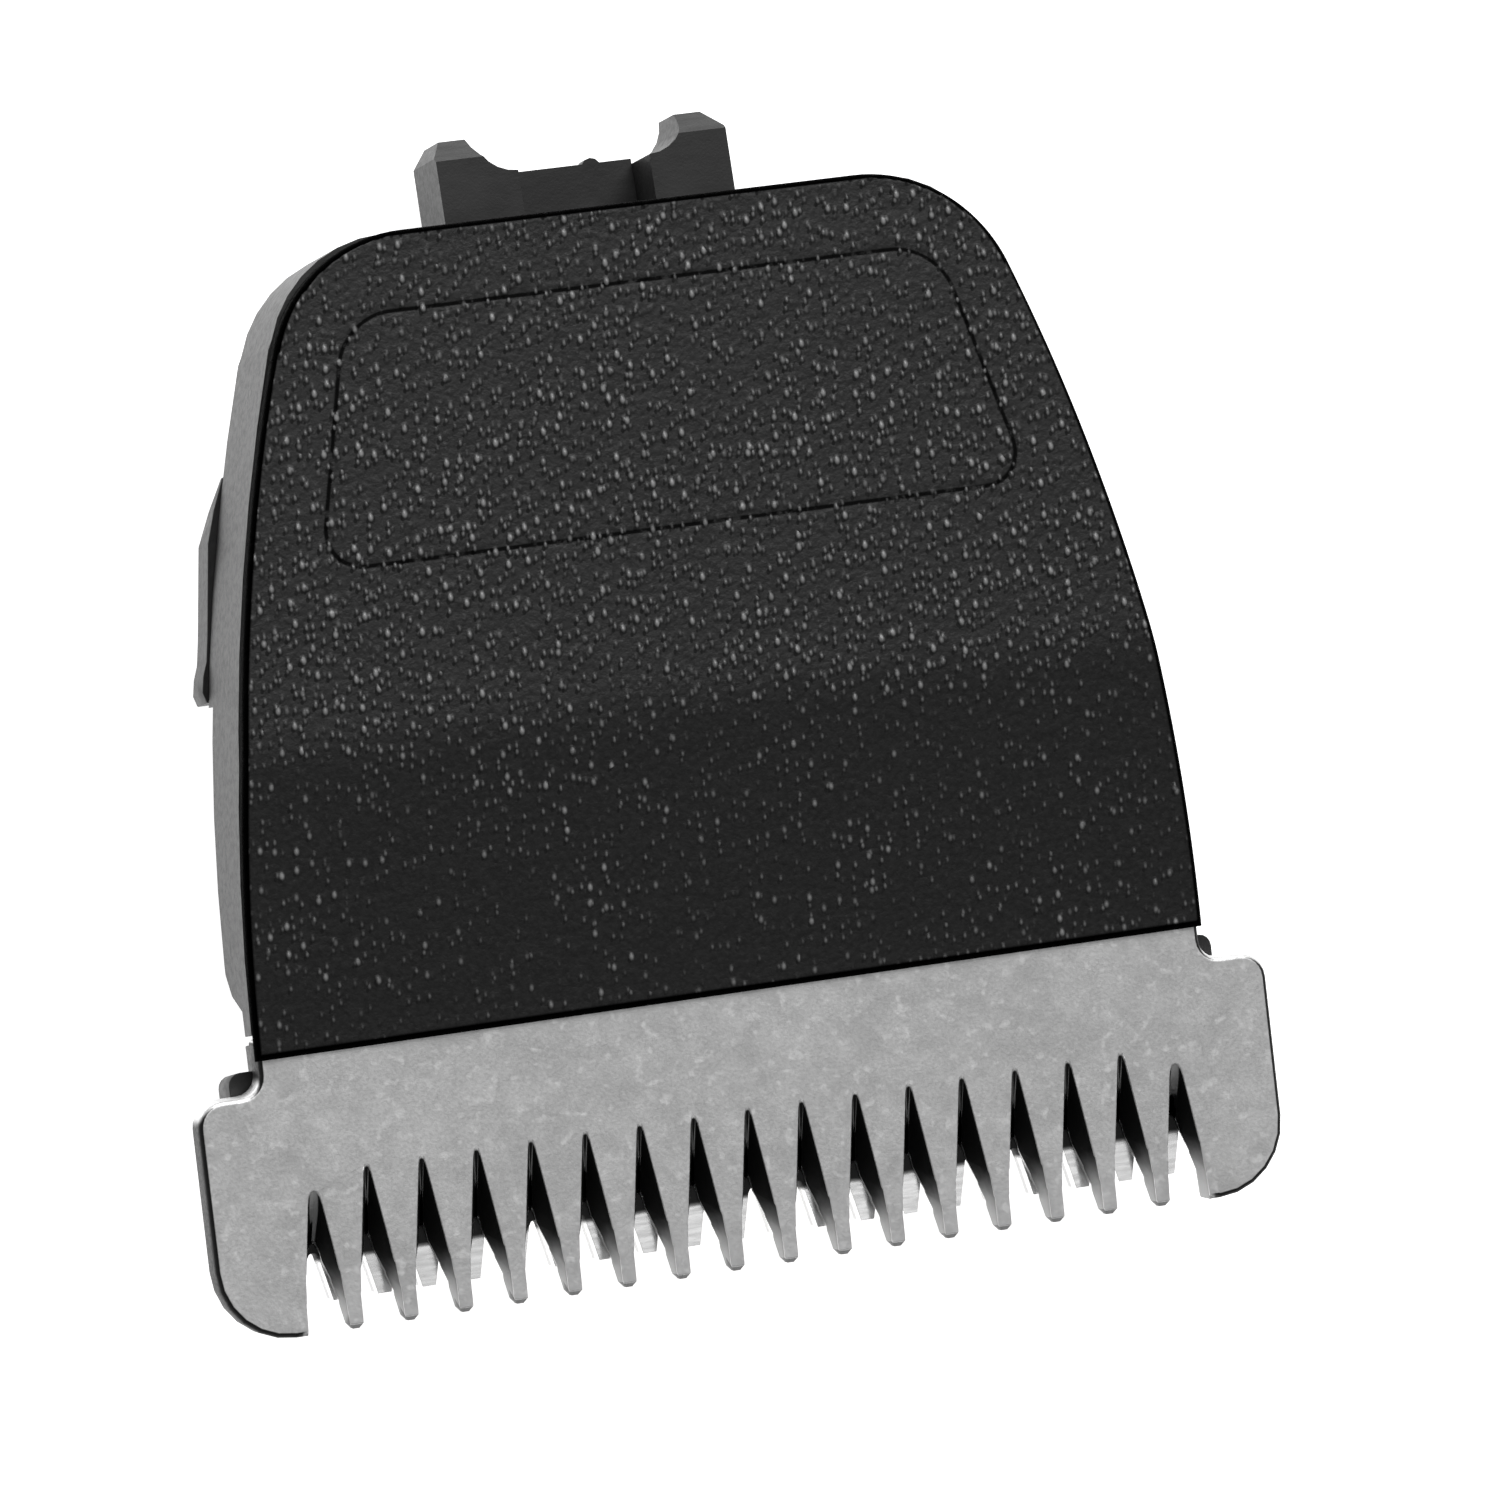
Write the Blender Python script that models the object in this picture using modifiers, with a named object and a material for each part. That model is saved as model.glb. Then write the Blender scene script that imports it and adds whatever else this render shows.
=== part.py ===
"""Detachable T-blade cutting head of a hair trimmer, as an assembly of separate pieces.

The head lies on its back.  +X runs along the comb, +Y from the comb's tips to the hook
that goes into the handle, +Z out of the front cover.  All figures are in millimetres
and MM turns them into Blender's metres.  They are written in the head's own frame,
whose X axis passes near the roots of the comb's slots; the empty "head" carries that
frame to the origin, which is the bottom centre of the whole head.
"""

import math

import bpy
import bmesh
from mathutils import Matrix, Vector

MM = 0.001

# ---- driving dimensions, in millimetres -------------------------------------------------
# Comb of the fixed blade
COMB_PITCH = 1.6
COMB_SLOTS = 17
COMB_APEX = -1.71
COMB_TIP = -6.27
BLADE_HALF_WIDTH = 15.85
BLADE_TOP_OF_WING = 0.58
BLADE_THICK = 0.9
BLADE_TILT = math.atan(0.13)
# Flank of a slot, as (up the blade, half width) on the front face and then on the rear face
SLOT_FLANK = (
    ((COMB_APEX, 0.0), (-3.76, 0.0)),
    ((-1.745, 0.06), (-3.8, 0.04)),
    ((-1.9, 0.1), (-3.95, 0.09)),
    ((-4.6, 0.512), (-4.9, 0.4)),
    ((-5.3, 0.59), (-5.45, 0.58)),
    ((-6.12, 0.6), (-6.12, 0.6)),
    ((-6.25, 0.7), (-6.25, 0.7)),
    ((-6.6, 0.79), (-6.6, 0.79)),
)
END_SLOT_FLANK = (
    ((-2.25, 0.0), (-3.8, 0.0)),
    ((-2.29, 0.1), (-3.84, 0.06)),
    ((-2.4, 0.16), (-3.95, 0.12)),
    ((-2.6, 0.2), (-4.15, 0.18)),
    ((-4.6, 0.5), (-4.9, 0.42)),
    ((-5.4, 0.57), (-5.45, 0.57)),
    ((-6.12, 0.6), (-6.12, 0.6)),
    ((-6.25, 0.7), (-6.25, 0.7)),
    ((-6.6, 0.79), (-6.6, 0.79)),
)
SLOT_FOOT = 0.62
TIP_RELIEF_FROM = -5.6
TIP_THICK = 0.45
TIP_CHAMFER = 0.15
OVERCUT = 0.1
NECK_HALF_WIDTH = 13.95
SEAT_HALF_WIDTH = 12.2
SEAT_TOP = 6.4

# Moving blade
CUTTER_PITCH = 1.3
CUTTER_TEETH = 22
CUTTER_TIP = -5.5
CUTTER_ROOT = -4.1
CUTTER_TOP = 0.1
CUTTER_HALF_WIDTH = 14.2
CUTTER_THICK = 0.7
CUTTER_PARK = 0.2
RUNNING_GAP = 0.05

# Guide behind the fixed blade: the rail under the wings, and the step above it
RAIL_HALF_WIDTH = 14.62
RAIL_LOW = 0.2
RAIL_TOP = 1.3
RAIL_REAR = -2.2
GUIDE_STEP_HALF_WIDTH = 13.7
GUIDE_TOP = 7.6

# Outline of the cover, the chassis and the plug
SHELL_HALF_WIDTH = 14.04
SHELL_BOW = 0.0083
SHELL_LOW = 1.5
SHELL_TOP = 23.9
SHELL_CORNER = 4.4
CHASSIS_CORNER = 3.8
CHASSIS_LOW = 2.25
CHASSIS_WALL = 1.2
COVER_HIGH = 2.05
COVER_LIP = 0.65
COVER_SLOPE = 0.1707
COVER_BEND_RADIUS = 8.0
COVER_THICK = 0.52

# Panel outlined by a groove on the cover
PANEL_HALF_LOW = 10.45
PANEL_HALF_TOP = 8.75
PANEL_LOW = 14.65
PANEL_TOP = 21.65
PANEL_CORNER = 1.3

# Depths behind the head's XY plane
WALL_REAR_LOW = -1.65
WALL_REAR_HIGH = -2.15
WALL_STEP_Y = 11.6
FLOOR_FRONT = -1.35
FLOOR_REAR = -2.2
PLUG_FRONT = -2.25
PLUG_REAR = -5.6
HOOK_FRONT = -1.82
HOOK_WEB_FRONT = -3.7
HOOK_REAR = -4.3

# Hook
HOOK_HALF_WIDTH = 4.33
HORN_INNER = 1.96
HORN_TOP = 26.75
HORN_SHOULDER = 26.2
HORN_TIP_OUTER = 3.92
HORN_TIP_INNER = 3.13
HORN_CHAMFER_Y = 26.0
HORN_CURVE_END = 25.6
WEB_TOP = 25.75
WEB_NUB_X = 0.75

# Wall of the plug, measured in from the shell's outline
PLUG_OUTER_INSET = 2.6
PLUG_INNER_INSET = 4.2
PLUG_LOW = 3.0
EAR_REAR = -3.45
EAR_REACH = 2.6

# Screws: (x, y) of each pair's right-hand one, shank radius and the hole round it
BLADE_SCREW_AT = (8.0, 4.5)
CASE_SCREW_LOW = (7.7, 10.6)
CASE_SCREW_HIGH = (5.9, 17.6)
SHANK_RADIUS = 0.75
SCREW_HOLE_RADIUS = 0.85
BOSS_RADIUS = 1.7
SCREW_BORE_TOP = 1.1
RECESS_TURN = math.radians(11)

# Carrier, its drive slot and the spring
DRIVE_SLOT_HALF = 1.5
DRIVE_SLOT_LOW = 10.2
LINER_THICK = 0.3
YOKE_LOW = 8.6
YOKE_TOP = 14.0
YOKE_HALF_WIDTH = 3.4
CARRIER_FRONT = -2.35
CARRIER_REAR = -3.6
YOKE_REAR = -4.6
PIN_X = 7.6
PIN_Y = -1.1
SPRING_WIRE = 0.25
SPRING_LEG_X = 4.6
SPRING_POST_Y = 17.4
SPRING_LOOP_RADIUS = 1.65

# Snap tabs
TAB_TOP = 18.0
TAB_THICK = 0.9
TAB_FRONT = -2.22
TAB_REAR = -3.4
# Outer face from the barb to the hinge: (place up the head, reach outside the shell)
TAB_FACE = [(11.75, 0.02), (12.05, 0.16), (12.5, 0.15), (12.9, 0.07), (13.6, 0.07),
            (15.2, 0.15), (16.2, 0.23), (17.1, 0.15), (TAB_TOP, 0.0)]
TAB_RAMP_LOW = 16.2
TAB_RAMP_TOP = 18.05

# Whole head, for the origin at its bottom centre
HEAD_MID_Y = (COMB_TIP + HORN_TOP) / 2


# ---- small helpers ----------------------------------------------------------------------
def clear_scene():
    for thing in list(bpy.data.objects):
        bpy.data.objects.remove(thing, do_unlink=True)


def new_collection(name):
    collection = bpy.data.collections.new(name)
    bpy.context.scene.collection.children.link(collection)
    return collection


def new_empty(name, location, parent=None, tilt=0.0):
    empty = bpy.data.objects.new(name, None)
    empty.empty_display_size = 2 * MM
    empty.location = Vector(location) * MM
    empty.rotation_euler = (tilt, 0.0, 0.0)
    empty.parent = parent
    PARTS.objects.link(empty)
    return empty


def new_material(name, colour, roughness, metallic=0.0):
    material = bpy.data.materials.new(name)
    material.use_nodes = True
    shader = material.node_tree.nodes["Principled BSDF"]
    shader.inputs["Base Color"].default_value = (*colour, 1.0)
    shader.inputs["Roughness"].default_value = roughness
    shader.inputs["Metallic"].default_value = metallic
    material.diffuse_color = (*colour, 1.0)
    return material


def finish(obj, name, parent, material):
    """Give a finished sub-part its node name, its parent and its material."""
    obj.name = name
    obj.data.name = name
    obj.parent = parent
    obj.data.materials.clear()
    obj.data.materials.append(MATERIALS[material])
    obj.data.shade_smooth()
    obj.data.set_sharp_from_angle(angle=math.radians(35))
    return obj


def mesh_from_curve(curve, name, collection):
    """Turn a curve into a closed mesh object and remove the curve."""
    source = bpy.data.objects.new(name, curve)
    collection.objects.link(source)
    bpy.context.view_layer.update()
    graph = bpy.context.evaluated_depsgraph_get()
    mesh = bpy.data.meshes.new_from_object(source.evaluated_get(graph))
    bm = bmesh.new()
    bm.from_mesh(mesh)
    bmesh.ops.remove_doubles(bm, verts=bm.verts, dist=0.001 * MM)
    bm.to_mesh(mesh)
    bm.free()
    bpy.data.objects.remove(source, do_unlink=True)
    bpy.data.curves.remove(curve)
    result = bpy.data.objects.new(name, mesh)
    collection.objects.link(result)
    return result


def prism(name, outlines, low, high, along="z", collection=None):
    """Extrude closed outlines from low to high; later outlines inside the first are holes.

    Along "z" an outline holds (x, y) pairs, and along "x" it holds (y, z) pairs.
    """
    curve = bpy.data.curves.new(name, "CURVE")
    curve.dimensions = "2D"
    curve.fill_mode = "BOTH"
    curve.extrude = (high - low) / 2 * MM
    for outline in outlines:
        spline = curve.splines.new("POLY")
        spline.points.add(len(outline) - 1)
        for point, (first, second) in zip(spline.points, outline):
            point.co = (first * MM, second * MM, 0.0, 1.0)
        spline.use_cyclic_u = True
    result = mesh_from_curve(curve, name, collection or PARTS)
    result.data.transform(Matrix.Translation((0.0, 0.0, (low + high) / 2 * MM)))
    if along == "x":
        turn = Matrix.Rotation(math.radians(90), 4, "Z") @ Matrix.Rotation(math.radians(90), 4, "X")
        result.data.transform(turn)
    return result


def box_outline(x_low, x_high, y_low, y_high):
    return [(x_low, y_low), (x_high, y_low), (x_high, y_high), (x_low, y_high)]


def circle_outline(x, y, radius, steps=16):
    turns = [2 * math.pi * step / steps for step in range(steps)]
    return [(x + radius * math.cos(turn), y + radius * math.sin(turn)) for turn in turns]


def cutter_prism(name, outlines, low, high, along="z", parent=None):
    cutter = prism(name, outlines, low, high, along, CUTTERS)
    cutter.hide_render = True
    cutter.display_type = "WIRE"
    cutter.parent = parent
    return cutter


def cutter_box(name, x_range, y_range, z_range, parent=None):
    return cutter_prism(name, [box_outline(*x_range, *y_range)], *z_range, parent=parent)


def apply_boolean(obj, other, operation):
    modifier = obj.modifiers.new(f"{operation.lower()}_{other.name}", "BOOLEAN")
    modifier.operation = operation
    modifier.solver = "EXACT"
    modifier.object = other
    return obj


def subtract(obj, *others):
    for other in others:
        apply_boolean(obj, other, "DIFFERENCE")
    return obj


def add(obj, *others):
    """Join helper solids, which stay hidden among the cutters, to a sub-part."""
    for other in others:
        apply_boolean(obj, other, "UNION")
    return obj


def rounded(corners, steps=6):
    """Replace each (x, y, radius) corner of a closed outline by an arc."""
    result = []
    count = len(corners)
    for index, (x, y, radius) in enumerate(corners):
        if radius == 0:
            result.append((x, y))
            continue
        here = Vector((x, y))
        back = (Vector(corners[index - 1][:2]) - here).normalized()
        ahead = (Vector(corners[(index + 1) % count][:2]) - here).normalized()
        half_angle = back.angle(ahead) / 2
        start = here + back * (radius / math.tan(half_angle))
        centre = here + (back + ahead).normalized() * (radius / math.sin(half_angle))
        spoke = start - centre
        sweep = math.pi - 2 * half_angle
        side = 1 if back.cross(ahead) < 0 else -1
        for step in range(steps + 1):
            turned = Matrix.Rotation(side * sweep * step / steps, 2) @ spoke
            result.append(tuple(centre + turned))
    return result


def mirrored(right_half):
    """Close an outline from its right half, which runs up from the lower end."""
    left_half = [(-x, y) for x, y in reversed(right_half)]
    return right_half + left_half


def on_blade(v, w):
    """(y, z) of a point v up the blade's plane and w in front of its face."""
    cos_tilt = math.cos(BLADE_TILT)
    sin_tilt = math.sin(BLADE_TILT)
    rise = v - COMB_APEX
    return (COMB_APEX + rise * cos_tilt - w * sin_tilt, rise * sin_tilt + w * cos_tilt)


def up_blade(y, w):
    """How far up the blade's plane a point w in front of it lies, at the head's y."""
    return COMB_APEX + (y - COMB_APEX + w * math.sin(BLADE_TILT)) / math.cos(BLADE_TILT)


# ---- outlines that several pieces share -------------------------------------------------
def shell_half_width(y):
    return SHELL_HALF_WIDTH - SHELL_BOW * (y - SHELL_LOW) ** 2


def shell_outline(inset, y_low, corner_radius=SHELL_CORNER, steps=9):
    """The bowed, round-shouldered outline of the head, inset all round but below."""
    top = SHELL_TOP - inset
    radius = max(corner_radius - inset, 0.6)
    shoulder = top - 0.75 * radius
    sides = []
    for step in range(steps + 1):
        y = y_low + (shoulder - y_low) * step / steps
        sides.append((shell_half_width(y) - inset, y))
    corner = (shell_half_width(top) - inset, top, radius)
    arc = rounded([(*sides[-2], 0), corner, (0.0, top, 0)], steps=7)
    arc = [point for point in arc[1:-1] if point[1] > shoulder - 0.3 * radius]
    sides = [point for point in sides if point[1] < arc[0][1] - 0.05]
    return mirrored(sides + arc)


def cover_profile():
    """Side view of the cover's front face, from the lip to the top, with its bend."""
    bend_y = SHELL_LOW + (COVER_HIGH - COVER_LIP) / COVER_SLOPE
    reach = 0.3
    lip_height = COVER_LIP - COVER_SLOPE * reach
    corners = [
        (SHELL_LOW - reach, lip_height, 0),
        (bend_y, COVER_HIGH, COVER_BEND_RADIUS),
        (SHELL_TOP + reach, COVER_HIGH, 0),
        (SHELL_TOP + reach, COVER_HIGH + 4, 0),
        (SHELL_LOW - reach, COVER_HIGH + 4, 0),
    ]
    return rounded(corners, steps=5)


def underside_profile(drop):
    """Region in front of the cover's underside, lowered by drop.

    Over the blade the underside lies parallel to the blade's face, and above it the
    underside is parallel to the cover's front.
    """
    clearance = 0.06 - drop
    level = COVER_HIGH - COVER_THICK - drop
    start = on_blade(SHELL_LOW - 0.4, clearance)
    slope = math.tan(BLADE_TILT)
    bend_y = start[0] + (level - start[1]) / slope
    return [
        start,
        (bend_y, level),
        (SHELL_TOP + 1, level),
        (SHELL_TOP + 1, COVER_HIGH + 5),
        (start[0], COVER_HIGH + 5),
    ]


def both_sides(x, y):
    return [(x, y), (-x, y)]


# ---- blades -----------------------------------------------------------------------------
def comb_outline():
    """Outline of the fixed blade before its slots: wings, necks and the hidden seat."""
    return mirrored(rounded([
        (0.0, COMB_TIP, 0),
        (BLADE_HALF_WIDTH, COMB_TIP, 2.1),
        (BLADE_HALF_WIDTH, BLADE_TOP_OF_WING, 0.75),
        (NECK_HALF_WIDTH, BLADE_TOP_OF_WING, 0.55),
        (NECK_HALF_WIDTH, 2.1, 0.1),
        (SEAT_HALF_WIDTH, 2.1, 0.3),
        (SEAT_HALF_WIDTH, SEAT_TOP, 0.8),
        (0.0, SEAT_TOP, 0),
    ])[1:-1])


def slot_ring(bm, centre, flank, share):
    """Outline of one slot at a share of the way through the blade, as corners of a mesh."""
    reach = (COMB_SLOTS - 1) / 2 * COMB_PITCH + SLOT_FOOT
    side = [Vector(front).lerp(Vector(rear), share) for front, rear in flank]
    outline = [(half, v) for v, half in reversed(side)] + [(-half, v) for v, half in side[1:]]
    corners = []
    for x, v in outline:
        at = (max(-reach, min(reach, centre + x)), v - COMB_APEX, -BLADE_THICK * share)
        corners.append(bm.verts.new(Vector(at) * MM))
    return corners


def make_slot_cutters():
    """Grooves of the comb's slots, which come through the blade's rear below their roots."""
    bm = bmesh.new()
    for slot in range(COMB_SLOTS):
        centre = (slot - (COMB_SLOTS - 1) / 2) * COMB_PITCH
        flank = END_SLOT_FLANK if slot in (0, COMB_SLOTS - 1) else SLOT_FLANK
        front = slot_ring(bm, centre, flank, -OVERCUT)
        rear = slot_ring(bm, centre, flank, 1 + OVERCUT)
        bm.faces.new(front)
        bm.faces.new(reversed(rear))
        for here, front_corner in enumerate(front):
            bm.faces.new((front[here - 1], rear[here - 1], rear[here], front_corner))
    bmesh.ops.triangulate(bm, faces=bm.faces)
    mesh = bpy.data.meshes.new("slot_cutters")
    bm.to_mesh(mesh)
    bm.free()
    cutters = bpy.data.objects.new("slot_cutters", mesh)
    cutters.hide_render = True
    cutters.display_type = "WIRE"
    cutters.parent = BLADE_FRAME
    CUTTERS.objects.link(cutters)
    return cutters


def make_tip_cutter(name, upper, lower):
    """Wedge that bevels all the tooth tips along a line between two (v, w) places."""
    run = (Vector(lower) - Vector(upper)) * OVERCUT
    start = Vector(upper) - run
    end = Vector(lower) + run
    corners = [(v - COMB_APEX, w) for v, w in (start, end, (end.x, start.y))]
    reach = (COMB_SLOTS - 1) / 2 * COMB_PITCH + SLOT_FOOT / 2
    return cutter_prism(name, [corners], -reach, reach, along="x", parent=BLADE_FRAME)


def make_fixed_blade():
    screw_v = up_blade(BLADE_SCREW_AT[1], -BLADE_THICK / 2)
    holes = [circle_outline(x, screw_v, SCREW_HOLE_RADIUS) for x, _ in both_sides(*BLADE_SCREW_AT)]
    blade = prism("fixed_blade", [comb_outline(), *holes], -BLADE_THICK, 0.0)
    blade.data.transform(Matrix.Translation((0.0, -COMB_APEX * MM, 0.0)))
    finish(blade, "fixed_blade", BLADE_FRAME, "ground_steel")
    relief = make_tip_cutter("tip_relief", (TIP_RELIEF_FROM, -BLADE_THICK), (COMB_TIP, -TIP_THICK))
    chamfer = make_tip_cutter("tip_chamfer", (COMB_TIP + TIP_CHAMFER, 0.0), (COMB_TIP, -TIP_CHAMFER))
    return subtract(blade, make_slot_cutters(), relief, chamfer)


def cutter_outline():
    """Outline of the moving blade: tapered teeth with rounded roots, and square ends."""
    first = -(CUTTER_TEETH - 1) / 2 * CUTTER_PITCH
    tip = 0.2
    points = [(-CUTTER_HALF_WIDTH, CUTTER_TOP), (-CUTTER_HALF_WIDTH, CUTTER_TIP)]
    for gap in range(CUTTER_TEETH - 1):
        centre = first + (gap + 0.5) * CUTTER_PITCH
        half = CUTTER_PITCH / 2 - tip
        points.append((centre - half, CUTTER_TIP))
        points.append((centre - 0.17, CUTTER_ROOT - 0.15))
        points.append((centre - 0.1, CUTTER_ROOT - 0.03))
        points.append((centre, CUTTER_ROOT))
        points.append((centre + 0.1, CUTTER_ROOT - 0.03))
        points.append((centre + 0.17, CUTTER_ROOT - 0.15))
        points.append((centre + half, CUTTER_TIP))
    points.append((CUTTER_HALF_WIDTH, CUTTER_TIP))
    points.append((CUTTER_HALF_WIDTH, CUTTER_TOP))
    return points


def make_moving_blade():
    front = -BLADE_THICK - RUNNING_GAP
    holes = [circle_outline(x, PIN_Y, 0.7) for x in (-PIN_X, PIN_X)]
    blade = prism("moving_blade", [cutter_outline(), *holes], front - CUTTER_THICK, front)
    blade.data.transform(Matrix.Translation((0.0, -COMB_APEX * MM, 0.0)))
    return finish(blade, "moving_blade", CUTTER_BLADE_FRAME, "dark_steel")


def make_blade_guide():
    """Seat behind the fixed blade, with the rail that the moving blade slides along."""
    plan = mirrored(rounded([
        (RAIL_HALF_WIDTH, RAIL_LOW - 0.5, 0),
        (RAIL_HALF_WIDTH, RAIL_TOP, 0.35),
        (GUIDE_STEP_HALF_WIDTH, RAIL_TOP, 0),
        (GUIDE_STEP_HALF_WIDTH, 2.05, 0),
        (SEAT_HALF_WIDTH, 2.05, 0),
        (SEAT_HALF_WIDTH, GUIDE_TOP, 0.6),
        (0.0, GUIDE_TOP, 0),
    ], steps=4)[:-1])
    gap = 0.04
    side = [
        on_blade(RAIL_LOW, -BLADE_THICK - gap),
        on_blade(GUIDE_TOP + 0.9, -BLADE_THICK - gap),
        (GUIDE_TOP + 0.9, FLOOR_FRONT + 0.05),
        (2.1, FLOOR_FRONT + 0.05),
        (2.1, -1.75),
        on_blade(RAIL_TOP + 0.3, RAIL_REAR),
        on_blade(RAIL_LOW, RAIL_REAR),
    ]
    guide = prism("blade_guide", [side], -15, 15, "x")
    finish(guide, "blade_guide", HEAD, "black_plastic")
    plan_solid = cutter_prism("guide_plan", [plan], -4, 3, parent=HEAD)
    apply_boolean(guide, plan_solid, "INTERSECT")
    for name, (x, y) in zip(("right", "left"), both_sides(*BLADE_SCREW_AT)):
        outline = circle_outline(x, y, SCREW_HOLE_RADIUS)
        subtract(guide, cutter_prism(f"guide_hole_{name}", [outline], -3, 3, parent=HEAD))
    return guide


# ---- cover, chassis and plug ------------------------------------------------------------
def panel_groove():
    """Thin groove that frames the panel on the upper part of the cover."""
    def frame(grow):
        return rounded([
            (PANEL_HALF_LOW + grow, PANEL_LOW - grow, PANEL_CORNER),
            (PANEL_HALF_TOP + grow, PANEL_TOP + grow, PANEL_CORNER),
            (-PANEL_HALF_TOP - grow, PANEL_TOP + grow, PANEL_CORNER),
            (-PANEL_HALF_LOW - grow, PANEL_LOW - grow, PANEL_CORNER),
        ], steps=5)
    groove_half = 0.06
    depth = 0.12
    return cutter_prism("panel_groove", [frame(groove_half), frame(-groove_half)],
                        COVER_HIGH - depth, COVER_HIGH + 1, parent=HEAD)


def make_front_cover():
    cover = prism("front_cover", [shell_outline(0.0, SHELL_LOW)], 0.0, COVER_HIGH + 0.5)
    finish(cover, "front_cover", HEAD, "textured_plastic")
    hollow = underside_profile(0.0)
    below = hollow[:3] + [(SHELL_TOP + 1, -3), (hollow[0][0], -3)]
    subtract(cover,
             cutter_prism("cover_front", [cover_profile()], -20, 20, "x", HEAD),
             cutter_prism("cover_underside", [below], -20, 20, "x", HEAD))
    rib_top = COVER_HIGH - COVER_THICK + 0.1
    rib = cutter_prism("cover_rib", [shell_outline(1.35, 9.3), shell_outline(2.35, 10.3)],
                       rib_top - 1.1, rib_top, parent=HEAD)
    add(cover, rib)
    for height, at in (("low", CASE_SCREW_LOW), ("high", CASE_SCREW_HIGH)):
        for side, (x, y) in zip(("right", "left"), both_sides(*at)):
            boss = cutter_prism(f"boss_{height}_{side}", [circle_outline(x, y, BOSS_RADIUS)],
                                FLOOR_FRONT + 0.05, rib_top, parent=HEAD)
            bore = cutter_prism(f"bore_{height}_{side}", [circle_outline(x, y, SCREW_HOLE_RADIUS)],
                                FLOOR_FRONT - 0.5, SCREW_BORE_TOP, parent=HEAD)
            add(cover, boss)
            subtract(cover, bore)
    return subtract(cover, panel_groove())


def make_chassis():
    """Middle frame: side walls, floor, and the seats of the blade and the screws."""
    outline = shell_outline(0.0, CHASSIS_LOW, CHASSIS_CORNER)
    chassis = prism("chassis", [outline], WALL_REAR_HIGH, COVER_HIGH)
    finish(chassis, "chassis", HEAD, "smooth_plastic")
    hollow = cutter_prism("chassis_hollow", [shell_outline(CHASSIS_WALL, CHASSIS_LOW - 1)],
                          FLOOR_FRONT, 3, parent=HEAD)
    front = cutter_prism("chassis_front", [underside_profile(0.1)], -20, 20, "x", HEAD)
    subtract(chassis, hollow, front)
    rim = 0.9
    edge = [(x, y) for x, y in shell_outline(rim, CHASSIS_LOW - 1) if x > 0 and y < WALL_STEP_Y]
    edge.append((shell_half_width(WALL_STEP_Y) - rim, WALL_STEP_Y))
    edge += [(18, WALL_STEP_Y), (18, CHASSIS_LOW - 1)]
    heel_profile = [
        (1, -4),
        (CHASSIS_LOW + 2.1, -4),
        (CHASSIS_LOW + 1.9, WALL_REAR_LOW - 0.05),
        (CHASSIS_LOW + 1.2, -1.2),
        (CHASSIS_LOW + 0.7, -0.25),
        (1, -0.25),
    ]
    for side, sign, heel_range in (("right", 1, (13.0, 20)), ("left", -1, (-20, -13.0))):
        ring = [(sign * x, y) for x, y in edge[::sign]]
        step = cutter_prism(f"chassis_step_{side}", [ring], -4, WALL_REAR_LOW, parent=HEAD)
        heel = cutter_prism(f"chassis_heel_{side}", [heel_profile], *heel_range, "x", HEAD)
        subtract(chassis, step, heel)
    floor = cutter_prism("chassis_floor", [shell_outline(rim + 0.05, CHASSIS_LOW + 0.02)],
                         FLOOR_REAR, FLOOR_FRONT - 0.01, parent=HEAD)
    add(chassis, floor)
    for name, at in (("blade", BLADE_SCREW_AT), ("low", CASE_SCREW_LOW), ("high", CASE_SCREW_HIGH)):
        for side, (x, y) in zip(("right", "left"), both_sides(*at)):
            outline = circle_outline(x, y, SCREW_HOLE_RADIUS)
            subtract(chassis, cutter_prism(f"chassis_hole_{name}_{side}", [outline], -3, 0, parent=HEAD))
    post_outline = circle_outline(0, SPRING_POST_Y, 0.9)
    return subtract(chassis, cutter_prism("chassis_hole_post", [post_outline], -3, 0, parent=HEAD))


def hook_outline():
    """Front view of the hook: a horn at each side and the web between, with its nub."""
    horn = [
        (HOOK_HALF_WIDTH, 20.2),
        (HOOK_HALF_WIDTH, HORN_SHOULDER),
        (HORN_TIP_OUTER, HORN_TOP),
        (HORN_TIP_INNER, HORN_TOP),
    ]
    reach = HORN_TIP_INNER - HORN_INNER
    steps = 6
    for step in range(1, steps + 1):
        turn = math.radians(90) * step / steps
        drop = (HORN_TOP - HORN_CURVE_END) * math.sin(turn)
        horn.append((HORN_INNER + reach * math.cos(turn), HORN_TOP - drop))
    nub = [(0.26, 0.0), (0.15, 0.12), (0.0, 0.16), (-0.15, 0.12), (-0.26, 0.0)]
    outline = mirrored(horn)
    middle = len(horn)
    web = [(HORN_INNER, WEB_TOP), *((WEB_NUB_X + x, WEB_TOP + y) for x, y in nub), (-HORN_INNER, WEB_TOP)]
    return outline[:middle] + web + outline[middle:]


def make_hook():
    """The hook as a helper solid: chamfered horns, set-back web, and a foot in the plug."""
    hook = cutter_prism("hook", [hook_outline()], HOOK_REAR, HOOK_FRONT, parent=HEAD)
    under_floor = cutter_box("hook_under_floor", (-6, 6), (18, 24.15), (PLUG_FRONT - 0.05, 0), HEAD)
    recess = cutter_box("hook_recess", (-HORN_INNER, HORN_INNER), (23.0, 28), (HOOK_WEB_FRONT, 0), HEAD)
    chamfer = [
        (HORN_CHAMFER_Y, HOOK_FRONT + 0.143),
        (HORN_CHAMFER_Y + 1.2, HOOK_FRONT - 1.574),
        (HORN_CHAMFER_Y + 1.2, 0),
        (HORN_CHAMFER_Y, 0),
    ]
    return subtract(hook, under_floor, recess, cutter_prism("hook_nose", [chamfer], -6, 6, "x", HEAD))


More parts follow.
